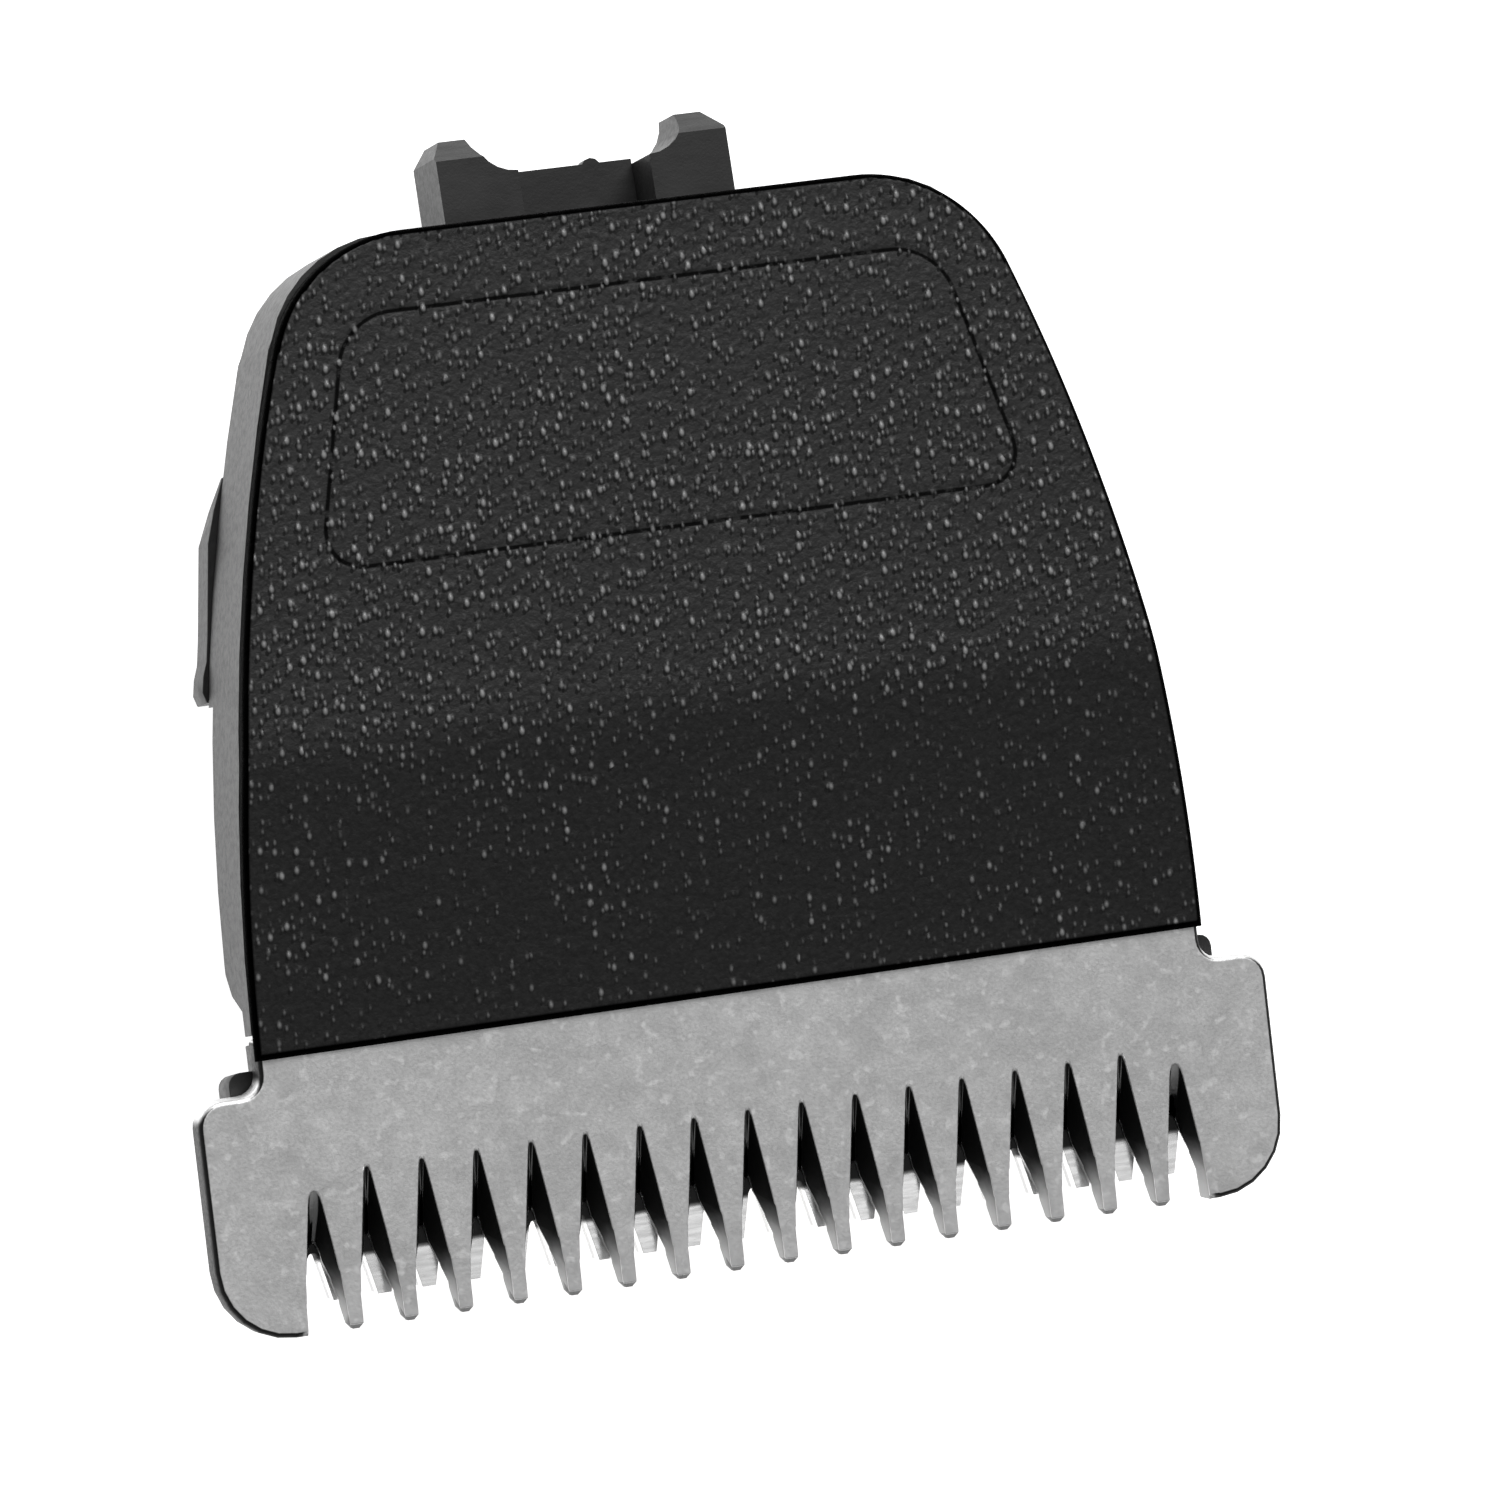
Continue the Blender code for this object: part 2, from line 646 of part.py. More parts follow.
def make_handle_plug():
    """Rear housing: the wall that enters the handle, its screw ears, and the hook."""
    outer = shell_outline(PLUG_OUTER_INSET, PLUG_LOW)
    plug = prism("handle_plug", [outer], PLUG_REAR, PLUG_FRONT)
    finish(plug, "handle_plug", HEAD, "smooth_plastic")
    hollow = cutter_prism("plug_hollow", [shell_outline(PLUG_INNER_INSET, PLUG_LOW - 2)],
                          PLUG_REAR - 1, PLUG_FRONT + 1, parent=HEAD)
    subtract(plug, hollow)
    for height, at in (("low", CASE_SCREW_LOW), ("high", CASE_SCREW_HIGH)):
        for side, (x, y) in zip(("right", "left"), both_sides(*at)):
            place = f"{height}_{side}"
            x_range = sorted((x, math.copysign(abs(x) + EAR_REACH, x)))
            ear = cutter_prism(f"ear_{place}", [circle_outline(x, y, BOSS_RADIUS)],
                               EAR_REAR, PLUG_FRONT, parent=HEAD)
            bridge = cutter_box(f"ear_bridge_{place}", x_range, (y - BOSS_RADIUS, y + BOSS_RADIUS),
                                (EAR_REAR + 0.05, PLUG_FRONT - 0.05), HEAD)
            hole = cutter_prism(f"ear_hole_{place}", [circle_outline(x, y, SCREW_HOLE_RADIUS)],
                                -6, -1, parent=HEAD)
            add(plug, ear, bridge)
            subtract(plug, hole)
    return add(plug, make_hook())


def make_snap_tab(side, sign):
    """Sprung side tab that clicks into the handle; it swings about its upper end."""
    pivot = Vector((sign * (shell_half_width(TAB_TOP) - TAB_THICK / 2), TAB_TOP - 0.45, 0.0))
    frame = new_empty(f"snap_{side}_pivot", pivot, HEAD)
    outer = [(sign * (shell_half_width(y) + reach), y) for y, reach in TAB_FACE]
    inner = [(sign * (shell_half_width(y) - TAB_THICK), y) for y, _ in TAB_FACE]
    outline = outer + inner[::-1]
    if sign < 0:
        outline.reverse()
    outline = [(x - pivot.x, y - pivot.y) for x, y in outline]
    tab = prism(f"snap_tab_{side}", [outline], TAB_REAR, TAB_FRONT)
    finish(tab, f"snap_tab_{side}", frame, "smooth_plastic")
    ramp_profile = [(TAB_RAMP_LOW, TAB_REAR - 0.02), (TAB_RAMP_TOP, TAB_REAR - 0.02),
                    (TAB_RAMP_TOP, TAB_FRONT - 0.15)]
    return subtract(tab, cutter_prism(f"snap_ramp_{side}", [ramp_profile], -20, 20, "x", HEAD))


# ---- moving group behind the blade ------------------------------------------------------
def make_carrier():
    """Sliding carrier: a bar behind the moving blade, a neck, and the drive fork."""
    blade_rear = -BLADE_THICK - RUNNING_GAP - CUTTER_THICK - 0.03
    side = [
        on_blade(-2.4, blade_rear),
        on_blade(0.0, blade_rear),
        (on_blade(0.0, blade_rear)[0], CARRIER_FRONT),
        (YOKE_TOP, CARRIER_FRONT),
        (YOKE_TOP, YOKE_REAR),
        (YOKE_LOW, YOKE_REAR),
        (YOKE_LOW - 0.8, CARRIER_REAR),
        (-0.9, CARRIER_REAR),
        on_blade(-2.4, -3.0),
    ]
    plan_half = [
        (9.0, -4.0),
        (9.0, 0.2),
        (2.4, 0.9),
        (2.4, YOKE_LOW - 1.2),
        (YOKE_HALF_WIDTH, YOKE_LOW),
        (YOKE_HALF_WIDTH, YOKE_TOP + 1),
        (DRIVE_SLOT_HALF, YOKE_TOP + 1),
        (DRIVE_SLOT_HALF, DRIVE_SLOT_LOW),
    ]
    carrier = prism("cutter_carrier", [side], -10, 10, "x")
    finish(carrier, "cutter_carrier", CUTTER_FRAME, "ivory_nylon")
    plan = cutter_prism("carrier_plan", [mirrored(plan_half)], -8, 2, parent=CUTTER_FRAME)
    apply_boolean(carrier, plan, "INTERSECT")
    for name, x in (("right", PIN_X), ("left", -PIN_X)):
        hole = cutter_prism(f"carrier_hole_{name}", [circle_outline(x, PIN_Y - COMB_APEX, 0.7)],
                            -8, 2, parent=CUTTER_BLADE_FRAME)
        subtract(carrier, hole)
    return carrier


def make_drive_liner():
    """Thin steel clip that lines the drive fork, where the handle's pin runs."""
    gap = 0.04
    outer = DRIVE_SLOT_HALF - gap
    inner = outer - LINER_THICK
    low = DRIVE_SLOT_LOW + gap
    outline = [
        (-outer, YOKE_TOP - 0.1),
        (-outer, low),
        (outer, low),
        (outer, YOKE_TOP - 0.1),
        (inner, YOKE_TOP - 0.1),
        (inner, low + LINER_THICK),
        (-inner, low + LINER_THICK),
        (-inner, YOKE_TOP - 0.1),
    ]
    liner = prism("drive_liner", [outline], YOKE_REAR + 0.1, CARRIER_FRONT - 0.1)
    return finish(liner, "drive_liner", CUTTER_FRAME, "dark_steel")


def lathe(name, profile, parent, location, material):
    """Turn an outer profile of (radius, z) points, listed from top to bottom."""
    mesh = bpy.data.meshes.new(name)
    points = [(radius * MM, 0.0, z * MM) for radius, z in profile]
    edges = [(index, index + 1) for index in range(len(points) - 1)]
    mesh.from_pydata(points, edges, [])
    turned = bpy.data.objects.new(name, mesh)
    PARTS.objects.link(turned)
    screw = turned.modifiers.new("turn", "SCREW")
    screw.steps = 16
    screw.render_steps = 16
    screw.use_merge_vertices = True
    screw.merge_threshold = 0.000001
    screw.use_smooth_shade = True
    turned.location = Vector(location) * MM
    turned.name = name
    turned.parent = parent
    turned.data.materials.append(MATERIALS[material])
    return turned


def cross_recess(name, parent, x, y, head_rear, size):
    """Cross-shaped recess cutter for a screw head that faces rearwards."""
    thin = size * 0.28
    cross = [
        (-thin, -size), (thin, -size), (thin, -thin), (size, -thin), (size, thin), (thin, thin),
        (thin, size), (-thin, size), (-thin, thin), (-size, thin), (-size, -thin), (-thin, -thin),
    ]
    turn = Matrix.Rotation(RECESS_TURN, 2)
    outline = [tuple(Vector((x, y)) + turn @ Vector(corner)) for corner in cross]
    return cutter_prism(name, [outline], head_rear - 0.5, head_rear + 0.3, parent=parent)


def make_screw(name, x, y, tip, seat, head_radius, head_height, shank=SHANK_RADIUS):
    """Pan-head screw put in from behind: its shank points to the front."""
    rear = seat - head_height
    profile = [
        (0.0, tip),
        (shank * 0.7, tip),
        (shank, tip - 0.25),
        (shank, seat),
        (head_radius, seat),
        (head_radius, rear + 0.18),
        (head_radius - 0.18, rear),
        (0.0, rear),
    ]
    screw = lathe(name, profile, HEAD, (x, y, 0.0), "zinc_steel")
    recess = cross_recess(f"{name}_recess", HEAD, x, y, rear, head_radius * 0.55)
    return subtract(screw, recess)


def make_screws():
    case_seat = -3.5
    for side, (x, y) in zip(("right", "left"), both_sides(*BLADE_SCREW_AT)):
        make_screw(f"blade_screw_{side}", x, y, 0.68, FLOOR_REAR - 0.05, 1.3, 0.6)
    for side, (x, y) in zip(("right", "left"), both_sides(*CASE_SCREW_LOW)):
        make_screw(f"case_screw_low_{side}", x, y, 0.9, case_seat, 1.35, 0.7)
    for side, (x, y) in zip(("right", "left"), both_sides(*CASE_SCREW_HIGH)):
        make_screw(f"case_screw_high_{side}", x, y, 0.9, case_seat, 1.35, 0.7)
    make_screw("spring_screw", 0.0, SPRING_POST_Y, FLOOR_FRONT + 0.5, -3.25, 2.1, 0.6, shank=0.8)


def make_carrier_pins():
    """Headed pins that hold the moving blade on the carrier, square to the blade."""
    front = -BLADE_THICK - RUNNING_GAP - 0.1
    for side, x in (("right", PIN_X), ("left", -PIN_X)):
        profile = [
            (0.0, front),
            (0.52, front),
            (0.62, front - 0.1),
            (0.62, -3.9),
            (1.1, -3.9),
            (1.1, -4.15),
            (0.9, -4.3),
            (0.0, -4.3),
        ]
        lathe(f"carrier_pin_{side}", profile, CUTTER_BLADE_FRAME, (x, PIN_Y - COMB_APEX, 0.0), "zinc_steel")


def spring_route():
    """Centre line of the wire: left foot, leg, loop round the post, leg, right foot."""
    loop_z = -2.75
    leg_z = CARRIER_REAR - SPRING_WIRE - 0.06
    loop = SPRING_LOOP_RADIUS
    right = [
        (SPRING_LEG_X, -0.5, leg_z),
        (SPRING_LEG_X, 0.6, leg_z),
        (SPRING_LEG_X + 0.3, 4.0, leg_z - 0.1),
        (SPRING_LEG_X + 0.7, 8.0, leg_z - 0.1),
        (SPRING_LEG_X + 0.6, 11.5, leg_z),
        (SPRING_LEG_X + 0.5, 13.9, leg_z + 0.3),
        (SPRING_LEG_X - 0.2, 15.2, leg_z + 0.75),
        (2.9, 16.3, loop_z - 0.05),
    ]
    steps = 5
    for step in range(steps):
        turn = math.radians(-20 + 110 * step / steps)
        right.append((loop * math.cos(turn), SPRING_POST_Y + loop * math.sin(turn), loop_z))
    left = [(-x, y, z) for x, y, z in reversed(right)]
    return right + [(0.0, SPRING_POST_Y + loop, loop_z)] + left


def make_tension_spring():
    curve = bpy.data.curves.new("tension_spring", "CURVE")
    curve.dimensions = "3D"
    curve.bevel_depth = SPRING_WIRE * MM
    curve.bevel_resolution = 2
    curve.use_fill_caps = True
    spline = curve.splines.new("POLY")
    route = spring_route()
    spline.points.add(len(route) - 1)
    for point, place in zip(spline.points, route):
        point.co = (*(Vector(place) * MM), 1.0)
    spring = mesh_from_curve(curve, "tension_spring", PARTS)
    return finish(spring, "tension_spring", HEAD, "spring_steel")


# ---- the head ---------------------------------------------------------------------------
clear_scene()
PARTS = new_collection("trimmer_cutting_head")
CUTTERS = new_collection("cutters")
MATERIALS = {
    "ground_steel": new_material("ground_steel", (0.55, 0.55, 0.55), 0.35, 1.0),
    "dark_steel": new_material("dark_steel", (0.42, 0.42, 0.43), 0.4, 1.0),
    "zinc_steel": new_material("zinc_steel", (0.6, 0.6, 0.6), 0.3, 1.0),
    "spring_steel": new_material("spring_steel", (0.5, 0.5, 0.5), 0.3, 1.0),
    "textured_plastic": new_material("textured_plastic", (0.03, 0.03, 0.03), 0.6),
    "smooth_plastic": new_material("smooth_plastic", (0.035, 0.035, 0.035), 0.35),
    "black_plastic": new_material("black_plastic", (0.02, 0.02, 0.02), 0.5),
    "ivory_nylon": new_material("ivory_nylon", (0.75, 0.73, 0.66), 0.45),
}
HEAD = new_empty("head", (0.0, -HEAD_MID_Y, -PLUG_REAR))
BLADE_FRAME = new_empty("blade_frame", (0.0, COMB_APEX, 0.0), HEAD, BLADE_TILT)
CUTTER_FRAME = new_empty("cutter_slide", (CUTTER_PARK, 0.0, 0.0), HEAD)
CUTTER_BLADE_FRAME = new_empty("cutter_blade_frame", (0.0, COMB_APEX, 0.0), CUTTER_FRAME, BLADE_TILT)

make_fixed_blade()
make_moving_blade()
make_blade_guide()
make_front_cover()
make_chassis()
make_handle_plug()
make_snap_tab("right", 1)
make_snap_tab("left", -1)
make_carrier()
make_drive_liner()
make_carrier_pins()
make_screws()
make_tension_spring()
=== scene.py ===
"""Looks of the T-blade cutting head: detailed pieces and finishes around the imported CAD."""

import math

import bmesh
import bpy
import numpy as np
from mathutils import Matrix, Vector, noise


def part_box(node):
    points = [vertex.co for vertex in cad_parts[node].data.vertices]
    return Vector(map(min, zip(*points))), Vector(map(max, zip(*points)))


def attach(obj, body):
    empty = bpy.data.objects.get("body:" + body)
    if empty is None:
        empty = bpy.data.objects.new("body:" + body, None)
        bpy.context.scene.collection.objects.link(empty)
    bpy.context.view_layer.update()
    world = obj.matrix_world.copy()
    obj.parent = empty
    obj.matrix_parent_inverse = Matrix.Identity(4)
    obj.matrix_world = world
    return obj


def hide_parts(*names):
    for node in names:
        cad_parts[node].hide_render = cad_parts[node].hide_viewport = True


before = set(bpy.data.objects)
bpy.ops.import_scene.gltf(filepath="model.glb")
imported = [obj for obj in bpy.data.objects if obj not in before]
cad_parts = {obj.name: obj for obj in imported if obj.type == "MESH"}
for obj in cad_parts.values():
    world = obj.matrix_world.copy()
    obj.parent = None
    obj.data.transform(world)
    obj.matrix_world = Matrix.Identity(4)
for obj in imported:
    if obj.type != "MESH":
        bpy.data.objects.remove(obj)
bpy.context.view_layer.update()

MM = 0.001

# ---- the head's own frame, in millimetres -----------------------------------------------
# Its X axis passes near the roots of the comb's slots, as in the CAD, and +Z is the front.

# Outline of cover and chassis
SHELL_HALF_WIDTH = 14.04
SHELL_BOW = 0.0083
SHELL_LOW = 1.5
SHELL_TOP = 23.9
SHELL_CORNER = 4.4
CORNER_EASE = 5.0
CORNER_RUN = 2.5

# Cover: height of its upper face and lower lip, the slope between, its edges, and the width of the band
# round its edge that is painted in shade
COVER_HIGH = 2.05
COVER_LIP = 0.65
COVER_SLOPE = 0.1707
COVER_BEND_RADIUS = 8.0
COVER_THICK = 0.52
COVER_EDGE = 0.2
COVER_SEAT = 0.07
COVER_THINNEST = 0.02
RIM_SHADE_WIDTH = 0.15
GRAIN_ROOM = 0.014
GRAIN_EDGE = 0.5
GROOVE_DEPTH = 0.016
GROOVE_REACH = 0.07
COVER_STEP = 0.085
COVER_SHARE_STEP = 0.0062

# Blades: tilt and thickness of the comb, where its slots start and break through, and
# where its wings begin
BLADE_TILT = math.atan(0.13)
BLADE_THICK = 0.9
COMB_APEX = -1.71
GROOVE_THROUGH_Y = -3.75
WING_X = 13.45
CUTTER_ROOT_Y = -3.95

# Rounding of edges: those sharper than this are rounded
SHARP_EDGE = math.radians(28.0)
SLOT_EDGE_SHARE = 0.12

# Grain of the cover: (cells per mm, radius of a mound in cells) of each size of speck, and
# how far behind a speck its own shade is looked for
LARGE_SPECKS = (1.7, 0.27)
SMALL_SPECKS = (3.0, 0.36)
SPECK_SHADE = (0.09, 0.09, 0.0)

# Density of the specks, and so of the painted glints: most round a line across the cover, and fewer below
# the bend
SPECK_BASE = 0.02
SPECK_GAIN = 0.22
SPECK_LINE_Y = 15.5
SPECK_SPREAD = 7.0
SPARSE_BELOW_Y = 9.5
SPARSE_DROP = 0.2

# Panel outline on the cover
PANEL_HALF_LOW = 10.45
PANEL_HALF_TOP = 8.75
PANEL_LOW = 14.65
PANEL_TOP = 21.65
PANEL_CORNER = 1.3

COVER_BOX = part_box("front_cover")
HEAD_AT = Vector((0.0, COVER_BOX[1].y / MM - SHELL_TOP, COVER_BOX[1].z / MM - COVER_HIGH))


def to_world(x, y, z):
    """Place in the row frame, in metres, of a point in the head's frame."""
    return (Vector((x, y, z)) + HEAD_AT) * MM


# ---- camera, light and floor ------------------------------------------------------------
CAMERA_AT = Vector((-86.77, -7.67, 288.84))
CAMERA_BACK = Vector((-0.29237, -0.05263, 0.95485)).normalized()
CAMERA_UP = Vector((0.12983, 0.98707, 0.09416))
CAMERA_LENS = 256.97
FLOOR_HALF = 3.0


def make_camera():
    data = bpy.data.cameras.new("camera")
    data.lens = CAMERA_LENS
    data.sensor_width = 36.0
    data.clip_start = 0.01
    data.clip_end = 20.0
    camera = bpy.data.objects.new("camera", data)
    bpy.context.scene.collection.objects.link(camera)
    right = CAMERA_UP.cross(CAMERA_BACK).normalized()
    up = CAMERA_BACK.cross(right)
    turn = Matrix((right, up, CAMERA_BACK)).transposed().to_4x4()
    camera.matrix_world = Matrix.Translation(to_world(*CAMERA_AT)) @ turn
    bpy.context.scene.camera = camera


def make_light(name, direction, size, power, distance=0.6):
    """Soft rectangular lamp that faces the head from a direction."""
    data = bpy.data.lights.new(name, "AREA")
    data.shape = "RECTANGLE"
    data.size, data.size_y = size
    data.energy = power
    lamp = bpy.data.objects.new(name, data)
    bpy.context.scene.collection.objects.link(lamp)
    back = Vector(direction).normalized()
    lamp.location = back * distance
    lamp.rotation_euler = back.to_track_quat("Z", "Y").to_euler()


def make_stage():
    world = bpy.data.worlds.new("studio")
    bpy.context.scene.world = world
    world.use_nodes = True
    background = world.node_tree.nodes["Background"]
    background.inputs["Color"].default_value = (1.0, 1.0, 1.0, 1.0)
    background.inputs["Strength"].default_value = 0.26
    mesh = bpy.data.meshes.new("floor")
    corners = [(x * FLOOR_HALF, y * FLOOR_HALF, 0.0) for x, y in ((-1, -1), (1, -1), (1, 1), (-1, 1))]
    mesh.from_pydata(corners, [], [(0, 1, 2, 3)])
    floor = bpy.data.objects.new("floor", mesh)
    bpy.context.scene.collection.objects.link(floor)
    material = bpy.data.materials.new("pale_floor")
    material.use_nodes = True
    shader = material.node_tree.nodes["Principled BSDF"]
    shader.inputs["Base Color"].default_value = (0.9, 0.9, 0.9, 1.0)
    shader.inputs["Roughness"].default_value = 0.9
    shader.inputs["Emission Color"].default_value = (1.0, 1.0, 1.0, 1.0)
    shader.inputs["Emission Strength"].default_value = 0.95
    mesh.materials.append(material)
    make_light("key", (0.2, 0.66, 0.76), (0.46, 0.34), 3.0)
    make_light("card", (0.292, -0.193, 0.937), (0.12, 0.12), 0.03)
    bpy.context.scene.view_settings.view_transform = "Standard"


# ---- finishes ---------------------------------------------------------------------------
def put(tree, kind, inputs=None, **settings):
    """Add a shader node; an input is a value, or the socket that drives it."""
    node = tree.nodes.new(kind)
    for key, value in settings.items():
        setattr(node, key, value)
    for key, value in (inputs or {}).items():
        socket = node.inputs[key]
        if isinstance(value, bpy.types.NodeSocket):
            tree.links.new(value, socket)
        else:
            socket.default_value = value
    return node


class Finish:
    """A material under construction, whose patterns are measured in millimetres."""

    def __init__(self, name):
        self.material = bpy.data.materials.new(name)
        self.material.use_nodes = True
        self.tree = self.material.node_tree
        self.shader = self.tree.nodes["Principled BSDF"]
        coords = put(self.tree, "ShaderNodeTexCoord").outputs
        self.facing = coords["Normal"]
        scaled = put(self.tree, "ShaderNodeVectorMath", {0: coords["Object"], "Scale": 1 / MM},
                     operation="SCALE")
        self.mm = scaled.outputs["Vector"]
        self.normal = None

    def stretched(self, x, y, z):
        node = put(self.tree, "ShaderNodeVectorMath", {0: self.mm, 1: (x, y, z)}, operation="MULTIPLY")
        return node.outputs["Vector"]

    def noise(self, per_mm, detail=2.0, rough=0.5, vector=None):
        inputs = {"Vector": vector or self.mm, "Scale": per_mm, "Detail": detail, "Roughness": rough}
        return put(self.tree, "ShaderNodeTexNoise", inputs).outputs["Fac"]

    def specks(self, kind, density, shift=(0.0, 0.0, 0.0)):
        """Scattered low mounds: one in each cell of a random pattern, and each its own height."""
        per_mm, radius = kind
        moved = put(self.tree, "ShaderNodeVectorMath", {0: self.stretched(1.2, 0.85, 1.0), 1: shift},
                    operation="ADD")
        inputs = {"Vector": moved.outputs["Vector"], "Scale": per_mm}
        cell = put(self.tree, "ShaderNodeTexVoronoi", inputs, voronoi_dimensions="2D")
        split = put(self.tree, "ShaderNodeSeparateColor", {0: cell.outputs["Color"]})
        chance = self.math("ADD", split.outputs[0], density)
        size = self.ramp(chance, 0.5, 1.75)
        mound = self.fall(cell.outputs["Distance"], 0.0, radius)
        return self.times(mound, size)

    def attribute(self, name):
        return put(self.tree, "ShaderNodeAttribute", attribute_name=name).outputs["Fac"]

    def ramp(self, value, low, high, out_low=0.0, out_high=1.0):
        """A smooth step from one output to the other while the value goes from low to high."""
        inputs = {"Value": value, "From Min": low, "From Max": high, "To Min": out_low, "To Max": out_high}
        node = put(self.tree, "ShaderNodeMapRange", inputs, interpolation_type="SMOOTHSTEP")
        return node.outputs["Result"]

    def fall(self, value, low, high):
        return self.ramp(value, low, high, 1.0, 0.0)

    def axis(self, vector, name):
        return put(self.tree, "ShaderNodeSeparateXYZ", {0: vector}).outputs[name]

    def math(self, operation, first, second=0.0):
        return put(self.tree, "ShaderNodeMath", {0: first, 1: second}, operation=operation).outputs[0]

    def times(self, first, second):
        return self.math("MULTIPLY", first, second)

    def larger(self, first, second):
        return self.math("MAXIMUM", first, second)

    def rest_of(self, share):
        return self.math("SUBTRACT", 1.0, share)

    def mix(self, factor, first, second):
        colours = {"Factor": factor, 6: grey(first), 7: grey(second)}
        return put(self.tree, "ShaderNodeMix", colours, data_type="RGBA").outputs[2]

    def bump(self, height, strength, depth_mm):
        inputs = {"Height": height, "Strength": strength, "Distance": depth_mm * MM}
        if self.normal:
            inputs["Normal"] = self.normal
        self.normal = put(self.tree, "ShaderNodeBump", inputs).outputs["Normal"]

    def done(self, colour, roughness, metallic=0.0, **fixed):
        """Drive the shader with these sockets, and set its other inputs to fixed values."""
        inputs = self.shader.inputs
        self.tree.links.new(colour, inputs["Base Color"])
        self.tree.links.new(roughness, inputs["Roughness"])
        self.tree.links.new(self.normal, inputs["Normal"])
        if isinstance(metallic, bpy.types.NodeSocket):
            self.tree.links.new(metallic, inputs["Metallic"])
        else:
            inputs["Metallic"].default_value = metallic
        for key, value in fixed.items():
            inputs[key.replace("_", " ")].default_value = value
        return self.material


def grey(value):
    """A socket stays as it is; one number becomes a neutral colour, and three a colour."""
    if isinstance(value, bpy.types.NodeSocket):
        return value
    if isinstance(value, (int, float)):
        return (value, value, value, 1.0)
    return (*value, 1.0)


def textured_plastic():
    """Spark-eroded black plastic: a fine grain with raised specks that catch the light and are also
    painted pale as painted glints.
    """
    finish = Finish("cover_grain")
    fine = finish.noise(6.0, 3.0, 0.6)
    coarse = finish.noise(2.4, 2.0)
    where = finish.noise(0.35, 2.0)
    density = finish.math("ADD", where, finish.attribute("speck_density"))
    specks = finish.specks(LARGE_SPECKS, density)
    denser = finish.math("ADD", density, 0.2)
    small_specks = finish.specks(SMALL_SPECKS, denser)
    finish.bump(coarse, 0.2, 0.04)
    finish.bump(fine, 0.8, 0.03)
    finish.bump(specks, 1.0, 0.045)
    finish.bump(small_specks, 1.0, 0.028)
    # Painted shade along the panel groove, broken by noise and where the specks rise
    panel = finish.math("ABSOLUTE", finish.attribute("panel_distance"))
    groove_shade = finish.fall(panel, 0.03, 0.09)
    broken = finish.ramp(finish.noise(2.6, 3.0, 0.6), 0.3, 0.48, 0.3, 1.0)
    groove_shade = finish.times(groove_shade, broken)
    raised = finish.larger(specks, finish.times(small_specks, 0.58))
    groove_shade = finish.times(groove_shade, finish.fall(raised, 0.1, 0.5))
    shade = finish.larger(finish.specks(LARGE_SPECKS, density, SPECK_SHADE),
                          finish.specks(SMALL_SPECKS, denser, SPECK_SHADE))
    base = finish.mix(finish.ramp(fine, 0.3, 0.7), 0.001, 0.008)
    # Painted glints: the raised specks are painted pale
    base = finish.mix(finish.ramp(raised, 0.1, 1.0), base, 0.27)
    # Painted shade: the panel groove and the band round the cover's edge are painted near black and made
    # metallic, so they reflect almost nothing
    dark = finish.larger(finish.times(groove_shade, 0.8), finish.attribute("rim_painted_shade"))
    base = finish.mix(dark, base, 0.0005)
    lit = finish.ramp(raised, 0.1, 0.6, 0.5, 0.3)
    rough = finish.larger(lit, finish.ramp(shade, 0.15, 0.6, 0.0, 0.95))
    rough = finish.larger(rough, dark)
    return finish.done(base, rough, metallic=dark, Specular_IOR_Level=0.4)


def smooth_plastic(name="frame_plastic", dark=0.006, light=0.011, low=0.4, high=0.52, gloss=0.5):
    """Moulded black plastic with a slight orange peel, faint rubs and dust."""
    finish = Finish(name)
    peel = finish.noise(3.0, 2.0)
    fine = finish.noise(14.0, 2.0)
    cloud = finish.noise(0.5, 3.0)
    rubs = finish.noise(5.0, 4.0, 0.7, finish.stretched(0.25, 1.0, 1.0))
    finish.bump(peel, 0.25, 0.03)
    finish.bump(fine, 0.4, 0.012)
    base = finish.mix(finish.ramp(cloud, 0.3, 0.7), dark, light)
    base = finish.mix(finish.ramp(rubs, 0.64, 0.8, 0.0, 0.35), base, light * 1.8)
    rough = finish.ramp(rubs, 0.35, 0.75, low, high)
    return finish.done(base, rough, Specular_IOR_Level=gloss)


